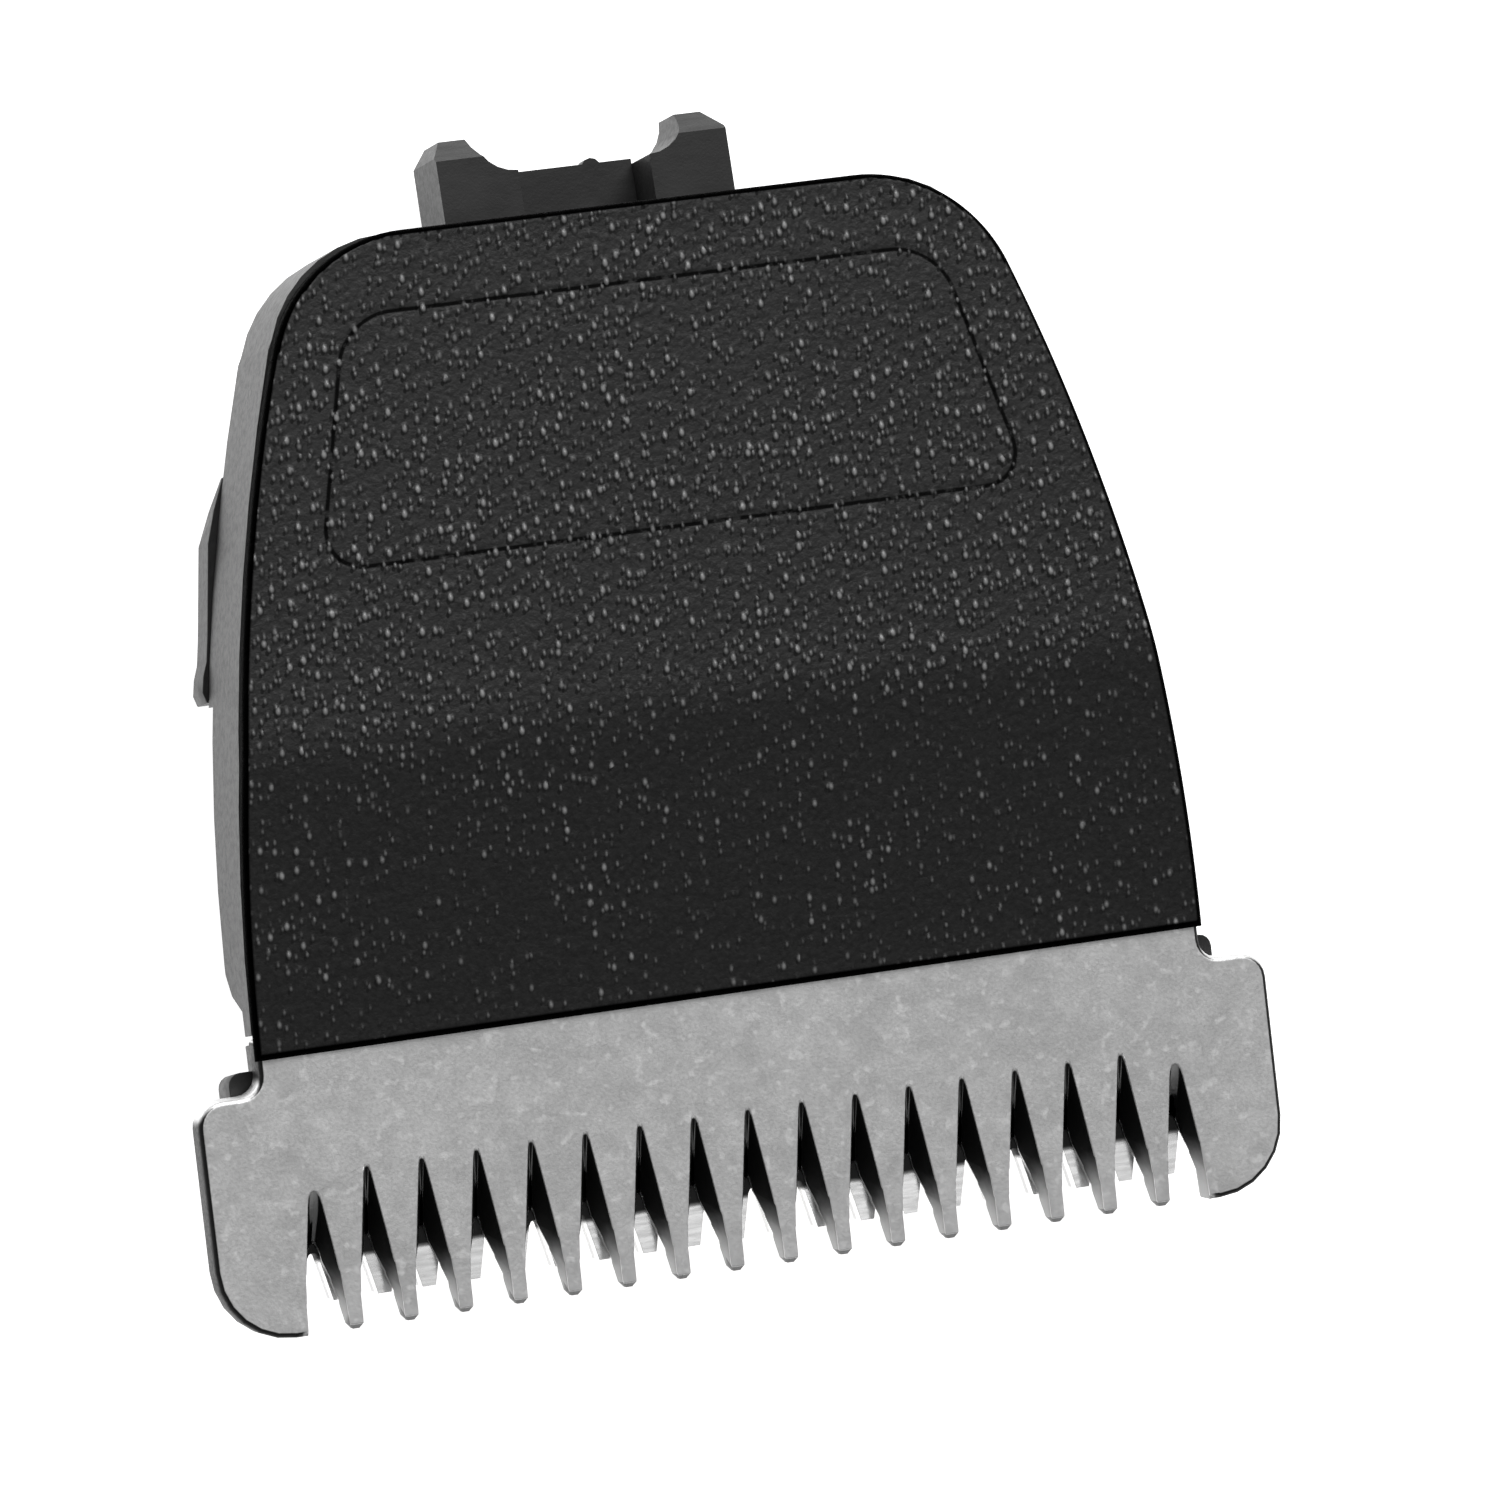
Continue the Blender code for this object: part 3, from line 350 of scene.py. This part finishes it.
def ground_steel():
    """Satin blade steel, with painted shade on the grooves' walls that turns light towards the tooth ends,
    on the wings' outer sides and on the tips' end facets.
    """
    finish = Finish("blade_steel")
    grain = finish.noise(11.0, 2.0, 0.6)
    mottle = finish.noise(1.3, 3.0, 0.55)
    patch = finish.noise(0.3, 2.0)
    spots = finish.ramp(finish.noise(3.2, 3.0), 0.66, 0.8)
    flecks = finish.ramp(finish.noise(3.2, 1.0), 0.56, 0.76)
    finish.bump(grain, 0.35, 0.014)
    finish.bump(mottle, 0.12, 0.03)
    tone = finish.math("ADD", finish.times(mottle, 0.7), finish.times(patch, 0.3))
    base = finish.mix(finish.ramp(tone, 0.3, 0.7), 0.7, 0.86)
    base = finish.mix(finish.times(spots, 0.3), base, 0.5)
    base = finish.mix(finish.times(flecks, 0.8), base, 1.0)

    # The grooves' walls, between the blade's two faces, carry painted shade: near black and not metallic
    # until the groove breaks through, grey steel past it
    place = finish.axis(finish.mm, "Y")
    along = finish.math("ADD", place, finish.times(mottle, 0.5))
    root = HEAD_AT.y + GROOVE_THROUGH_Y
    open_end = finish.fall(along, root - 1.8, root - 0.3)
    tilt = math.tan(BLADE_TILT)
    face = finish.math("ADD", finish.times(place, -tilt), (HEAD_AT.y + COMB_APEX) * tilt - HEAD_AT.z)
    under = finish.math("ADD", finish.axis(finish.mm, "Z"), face)
    between = finish.times(finish.fall(under, -0.05, -0.015),
                           finish.ramp(under, 0.03 - BLADE_THICK, 0.05 - BLADE_THICK))
    teeth = finish.fall(finish.math("ABSOLUTE", finish.axis(finish.mm, "X")), WING_X, WING_X + 0.15)
    wall_shade = finish.times(between, teeth)
    base = finish.mix(wall_shade, base, finish.mix(open_end, 0.002, 0.62))

    # Painted shade on the wings' outer edge and the round shoulder above it, where they do not face up,
    # away from the tips
    level = finish.math("ABSOLUTE", finish.axis(finish.facing, "Z"))
    toward_tips = finish.axis(finish.facing, "Y")
    outside = finish.times(finish.rest_of(teeth), finish.fall(toward_tips, 0.1, 0.5))
    side = finish.fall(level, 0.3, 0.5)
    shoulder = finish.times(finish.ramp(level, 0.2, 0.45), finish.fall(level, 0.95, 0.99))
    base = finish.mix(finish.times(outside, side), base, 0.04)
    base = finish.mix(finish.times(outside, shoulder), base, 0.03)

    # Painted shade on the teeth's facets that face down towards the tips
    tip = finish.fall(toward_tips, -0.6, -0.4)
    base = finish.mix(finish.times(tip, teeth), base, 0.34)
    rough = finish.larger(finish.ramp(grain, 0.3, 0.7, 0.42, 0.56), finish.times(wall_shade, 0.9))
    unshaded = finish.rest_of(finish.times(wall_shade, finish.rest_of(open_end)))
    return finish.done(base, rough, metallic=unshaded, Specular_IOR_Level=0.2)


def dark_steel():
    """Hardened spring steel with rolling marks along the comb."""
    finish = Finish("clip_steel")
    marks = finish.noise(9.0, 3.0, 0.6, finish.stretched(0.12, 1.0, 1.0))
    cloud = finish.noise(0.9, 3.0)
    finish.bump(marks, 0.25, 0.008)
    base = finish.mix(finish.ramp(cloud, 0.3, 0.7), 0.34, 0.45)
    rough = finish.ramp(marks, 0.3, 0.7, 0.3, 0.44)
    return finish.done(base, rough, metallic=1.0)


def cutter_steel():
    """Moving blade: its body painted near black as painted shade behind the comb, and its teeth ground
    bright.
    """
    finish = Finish("cutter_steel")
    marks = finish.noise(9.0, 3.0, 0.6, finish.stretched(0.12, 1.0, 1.0))
    cloud = finish.noise(0.9, 3.0)
    finish.bump(marks, 0.06, 0.004)
    along = finish.math("ADD", finish.axis(finish.mm, "Y"), finish.times(cloud, 0.12))
    root = HEAD_AT.y + CUTTER_ROOT_Y
    bright = finish.fall(along, root - 0.28, root - 0.1)
    # Painted shade: above the teeth's roots the body is painted near black, rough and not metallic
    body = finish.mix(finish.ramp(cloud, 0.3, 0.7), 0.004, 0.012)
    base = finish.mix(bright, body, finish.mix(marks, 0.88, 0.98))
    body_shade = finish.times(finish.rest_of(bright), 0.7)
    rough = finish.larger(finish.ramp(marks, 0.3, 0.7, 0.12, 0.22), body_shade)
    return finish.done(base, rough, metallic=bright)


def zinc_steel():
    """Plated screws and pins: bright, slightly cloudy, with turning marks."""
    finish = Finish("screw_zinc")
    cloud = finish.noise(2.2, 3.0)
    fine = finish.noise(16.0, 2.0)
    finish.bump(fine, 0.2, 0.006)
    base = finish.mix(finish.ramp(cloud, 0.3, 0.7), (0.55, 0.55, 0.54), (0.68, 0.68, 0.69))
    rough = finish.ramp(cloud, 0.3, 0.7, 0.22, 0.36)
    return finish.done(base, rough, metallic=1.0)


def spring_steel():
    """Drawn spring wire with lengthwise die marks."""
    finish = Finish("spring_wire")
    marks = finish.noise(12.0, 2.0, 0.5, finish.stretched(1.0, 0.15, 1.0))
    finish.bump(marks, 0.2, 0.006)
    base = finish.mix(finish.ramp(marks, 0.3, 0.7), 0.46, 0.58)
    rough = finish.ramp(marks, 0.3, 0.7, 0.2, 0.32)
    return finish.done(base, rough, metallic=1.0)


def ivory_nylon():
    """Moulded nylon of the carrier: warm, slightly waxy, with flow marks."""
    finish = Finish("carrier_nylon")
    flow = finish.noise(0.8, 3.0, 0.6, finish.stretched(1.0, 0.5, 1.0))
    fine = finish.noise(9.0, 2.0)
    finish.bump(fine, 0.15, 0.01)
    base = finish.mix(finish.ramp(flow, 0.3, 0.7), (0.66, 0.63, 0.54), (0.76, 0.74, 0.67))
    rough = finish.ramp(fine, 0.3, 0.7, 0.38, 0.5)
    return finish.done(base, rough, Subsurface_Weight=0.15, Subsurface_Scale=0.0005)


# ---- pieces -----------------------------------------------------------------------------
def show(name, mesh, body, material, nodes):
    """Make an object of a finished mesh, attach it to its body and hide the CAD nodes that it stands for.
    """
    mesh.materials.clear()
    mesh.materials.append(material)
    piece = bpy.data.objects.new(name, mesh)
    bpy.context.scene.collection.objects.link(piece)
    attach(piece, body)
    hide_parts(*nodes)


def welded(node):
    """A CAD node's mesh with its corners joined and its flat faces whole."""
    bm = bmesh.new()
    bm.from_mesh(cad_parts[node].data)
    bmesh.ops.remove_doubles(bm, verts=bm.verts, dist=0.0005 * MM)
    bmesh.ops.dissolve_limit(bm, angle_limit=math.radians(0.6), verts=bm.verts, edges=bm.edges)
    return bm


def softened(node, name, body, material, width, segments=2, widths=None):
    """A CAD node with its sharp edges rounded; widths gives an edge's share by its middle."""
    bm = welded(node)
    weights = bm.edges.layers.float.new("bevel_weight_edge")
    for edge in bm.edges:
        if len(edge.link_faces) == 2 and edge.calc_face_angle(0.0) > SHARP_EDGE:
            middle = (edge.verts[0].co + edge.verts[1].co) / 2 / MM - HEAD_AT
            edge[weights] = widths(middle) if widths else 1.0
    mesh = bpy.data.meshes.new(name)
    bm.to_mesh(mesh)
    bm.free()
    mesh.shade_smooth()
    work = bpy.data.objects.new(name, mesh)
    bpy.context.scene.collection.objects.link(work)
    bevel = work.modifiers.new("round", "BEVEL")
    bevel.limit_method = "WEIGHT"
    bevel.width = width * MM
    bevel.segments = segments
    bevel.use_clamp_overlap = widths is None
    weighted = work.modifiers.new("even", "WEIGHTED_NORMAL")
    weighted.mode = "FACE_AREA"
    weighted.weight = 100
    bpy.context.view_layer.update()
    graph = bpy.context.evaluated_depsgraph_get()
    result = bpy.data.meshes.new_from_object(work.evaluated_get(graph))
    bpy.data.objects.remove(work, do_unlink=True)
    show(name, result, body, material, [node])


def shell_half_width(y):
    return SHELL_HALF_WIDTH - SHELL_BOW * (y - SHELL_LOW) ** 2


def cover_corner():
    """Centre of the cover's round upper corner, and where its arc begins on the side."""
    top = Vector((shell_half_width(SHELL_TOP), SHELL_TOP))
    slope = 2 * SHELL_BOW * (SHELL_TOP - SHELL_LOW - CORNER_RUN)
    side = Vector((slope, -1.0)).normalized()
    level = Vector((-1.0, 0.0))
    half_angle = side.angle(level) / 2
    centre = top + (side + level).normalized() * (SHELL_CORNER / math.sin(half_angle))
    start = top + side * (SHELL_CORNER / math.tan(half_angle))
    return centre, start


CORNER_CENTRE, CORNER_START = cover_corner()


def cover_half_width(y):
    """Half width of the cover's outline, with its round corners."""
    if y < CORNER_START.y:
        join = shell_half_width(CORNER_START.y) - CORNER_START.x
        ease = max(0.0, (y - CORNER_START.y + CORNER_EASE) / CORNER_EASE) ** 2
        return shell_half_width(y) - join * ease
    rise = min(y - CORNER_CENTRE.y, SHELL_CORNER)
    return CORNER_CENTRE.x + math.sqrt(max(0.0, SHELL_CORNER**2 - rise**2))


def cover_front(y):
    """Height of the cover's front face, with the soft bend across it."""
    bend = SHELL_LOW + (COVER_HIGH - COVER_LIP) / COVER_SLOPE
    reach = COVER_BEND_RADIUS * COVER_SLOPE / 2
    if y > bend + reach:
        return COVER_HIGH
    if y < bend - reach:
        return COVER_HIGH - (bend - y) * COVER_SLOPE
    return COVER_HIGH - COVER_SLOPE * (bend + reach - y) ** 2 / (4 * reach)


def cover_under(y):
    """Height of the cover's underside: parallel to the blade, then level."""
    over_blade = (y - COMB_APEX) * math.tan(BLADE_TILT) + COVER_SEAT
    return min(over_blade, COVER_HIGH - COVER_THICK)


def panel_distance(x, y):
    """Signed distance from the panel's outline, a trapezoid with round corners."""
    side = Vector((PANEL_TOP - PANEL_LOW, PANEL_HALF_LOW - PANEL_HALF_TOP)).normalized()
    right = (abs(x) - PANEL_HALF_LOW) * side.x + (y - PANEL_LOW) * side.y + PANEL_CORNER
    top = y - PANEL_TOP + PANEL_CORNER
    low = PANEL_LOW + PANEL_CORNER - y
    upright = max(top, low)
    if right > 0 and upright > 0:
        return math.hypot(right, upright) - PANEL_CORNER
    return max(right, upright) - PANEL_CORNER


def grain(x, y):
    """Height of the moulded grain that the mesh itself carries."""
    place = Vector((x, y, 0.0))
    wide = noise.noise(place * 1.1)
    close = noise.noise(place * 3.1 + Vector((7.0, 3.0, 1.0)))
    return 0.006 * wide + 0.008 * close


def spaced(low, high, step, edge):
    """Places from low to high: close together in the round edges and even between."""
    near = [edge * (1 - math.cos(math.radians(90) * k / 5)) for k in range(5)]
    count = max(2, round((high - low - 2 * edge) / step))
    middle = [low + edge + (high - low - 2 * edge) * k / count for k in range(count + 1)]
    return [low + d for d in near] + middle + [high - d for d in reversed(near)]


def inside_cover(x, y, half):
    """How far a point lies inside the cover's outline."""
    inward = half - abs(x)
    if y > CORNER_START.y and abs(x) > CORNER_CENTRE.x:
        inward = SHELL_CORNER - math.hypot(abs(x) - CORNER_CENTRE.x, y - CORNER_CENTRE.y)
    return min(inward, y - SHELL_LOW, SHELL_TOP - y)


def cover_lift(x, y, depth):
    """Height of the cover's face: its bend, round edge, grain and panel groove."""
    lift = cover_front(y)
    if depth < COVER_EDGE:
        gap = COVER_EDGE - max(depth, 0.0)
        lift -= COVER_EDGE - math.sqrt(max(0.0, COVER_EDGE**2 - gap**2))
    calm = min(1.0, max(0.0, depth) / GRAIN_EDGE)
    lift += (grain(x, y) - GRAIN_ROOM) * calm
    return lift - GROOVE_DEPTH * math.exp(-(panel_distance(x, y) / GROOVE_REACH) ** 2)


def speck_density(y):
    """More specks, and so more painted glints, round one line across the cover, and fewer below the bend.
    """
    density = SPECK_BASE + SPECK_GAIN * math.exp(-(((y - SPECK_LINE_Y) / SPECK_SPREAD) ** 2))
    return density - (SPARSE_DROP if y < SPARSE_BELOW_Y else 0.0)


def face_quads(row_count, columns):
    quads = []
    for row in range(row_count - 1):
        for column in range(columns - 1):
            here = row * columns + column
            quads.append((here, here + 1, here + columns + 1, here + columns))
    return quads


def close_cover(verts, faces, row_count, columns):
    """Add the cover's sides, down to its underside, and the underside itself."""
    last = (row_count - 1) * columns
    border = list(range(columns))
    border += [row * columns + columns - 1 for row in range(1, row_count)]
    border += [last + column for column in range(columns - 2, -1, -1)]
    border += [row * columns for row in range(row_count - 2, 0, -1)]
    ring = []
    for index in border:
        spot = verts[index] / MM - HEAD_AT
        ring.append(len(verts))
        verts.append(to_world(spot.x, spot.y, min(cover_under(spot.y), spot.z - COVER_THINNEST)))
    count = len(border)
    for k in range(count):
        after = (k + 1) % count
        faces.append((border[after], border[k], ring[k], ring[after]))
    below = dict(zip(border, ring))
    left = [below[row * columns] for row in range(row_count)]
    right = [below[row * columns + columns - 1] for row in range(row_count)]
    for row in range(1, row_count - 2):
        faces.append((left[row], left[row + 1], right[row + 1], right[row]))
    low_edge = [below[column] for column in range(columns)]
    faces.append(tuple(low_edge[::-1]) + (left[1], right[1]))
    high_edge = [below[last + column] for column in range(columns)]
    faces.append(tuple(high_edge) + (right[-2], left[-2]))


def make_cover():
    """The front cover: a grained, bent face with round edges, and its closed rear."""
    rows = spaced(SHELL_LOW, SHELL_TOP, COVER_STEP, COVER_EDGE)
    shares = spaced(-1.0, 1.0, COVER_SHARE_STEP, COVER_EDGE / SHELL_HALF_WIDTH)
    verts = []
    traits = []
    for y in rows:
        half = cover_half_width(y)
        for share in shares:
            x = share * half
            depth = inside_cover(x, y, half)
            verts.append(to_world(x, y, cover_lift(x, y, depth)))
            # Each point keeps its distance from the panel, its density of specks, and whether it lies in
            # the band round the edge that is painted in shade
            traits.append((panel_distance(x, y), speck_density(y), 1.0 if depth < RIM_SHADE_WIDTH else 0.0))
    faces = face_quads(len(rows), len(shares))
    close_cover(verts, faces, len(rows), len(shares))
    # The cover's sides and underside lie far from the panel, carry no specks and are painted in shade all
    # over
    far_from_panel = 5.0
    traits += [(far_from_panel, 0.0, 1.0)] * (len(verts) - len(traits))
    mesh = bpy.data.meshes.new("front_cover_grained")
    mesh.from_pydata([tuple(v) for v in verts], [], faces)
    mesh.validate()
    for name, values in zip(("panel_distance", "speck_density", "rim_painted_shade"), zip(*traits)):
        layer = mesh.attributes.new(name, "FLOAT", "POINT")
        layer.data.foreach_set("value", np.array(values, np.float32))
    mesh.shade_smooth()
    mesh.set_sharp_from_angle(angle=math.radians(60))
    show("front_cover_grained", mesh, "head", textured_plastic(), ["front_cover"])


def comb_edge_share(middle):
    """Round the wings' edges fully, the slots' front edges a little and the rear ones not."""
    if abs(middle.x) > WING_X:
        return 1.0
    if middle.z < (middle.y - COMB_APEX) * math.tan(BLADE_TILT) - 0.05:
        return 0.0
    return SLOT_EDGE_SHARE


def make_pieces():
    make_cover()
    frame_plastic = smooth_plastic()
    # The plug and hook get a lighter, less glossy copy of the black plastic, as a painted reflection on
    # their smooth faces
    plug_plastic = smooth_plastic("plug_plastic", 0.021, 0.032, gloss=0.24)
    guide_plastic = smooth_plastic("guide_plastic", 0.008, 0.014, 0.4, 0.55)
    steel = ground_steel()
    cutter = cutter_steel()
    clip = dark_steel()
    zinc = zinc_steel()
    wire = spring_steel()
    nylon = ivory_nylon()
    softened("chassis", "chassis_frame", "head", frame_plastic, 0.12, 3)
    softened("handle_plug", "plug_and_hook", "head", plug_plastic, 0.1, 3)
    softened("blade_guide", "guide_rail", "head", guide_plastic, 0.1)
    softened("fixed_blade", "comb_blade", "head", steel, 0.16, 3, widths=comb_edge_share)
    softened("moving_blade", "cutter_blade", "cutter", cutter, 0.02, 1)
    softened("cutter_carrier", "carrier_slider", "cutter", nylon, 0.12)
    softened("drive_liner", "liner_clip", "cutter", clip, 0.05)
    for side in ("left", "right"):
        softened(f"snap_tab_{side}", f"tab_{side}", f"{side}_tab", frame_plastic, 0.1)
        softened(f"carrier_pin_{side}", f"pin_{side}", "cutter", zinc, 0.05)
        softened(f"blade_screw_{side}", f"screw_blade_{side}", "head", zinc, 0.05)
        for height in ("low", "high"):
            softened(f"case_screw_{height}_{side}", f"screw_case_{height}_{side}", "head", zinc,
                     0.05)
    softened("spring_screw", "screw_spring", "head", zinc, 0.05)
    softened("tension_spring", "spring_wire_form", "head", wire, 0.03)


make_camera()
make_stage()
make_pieces()
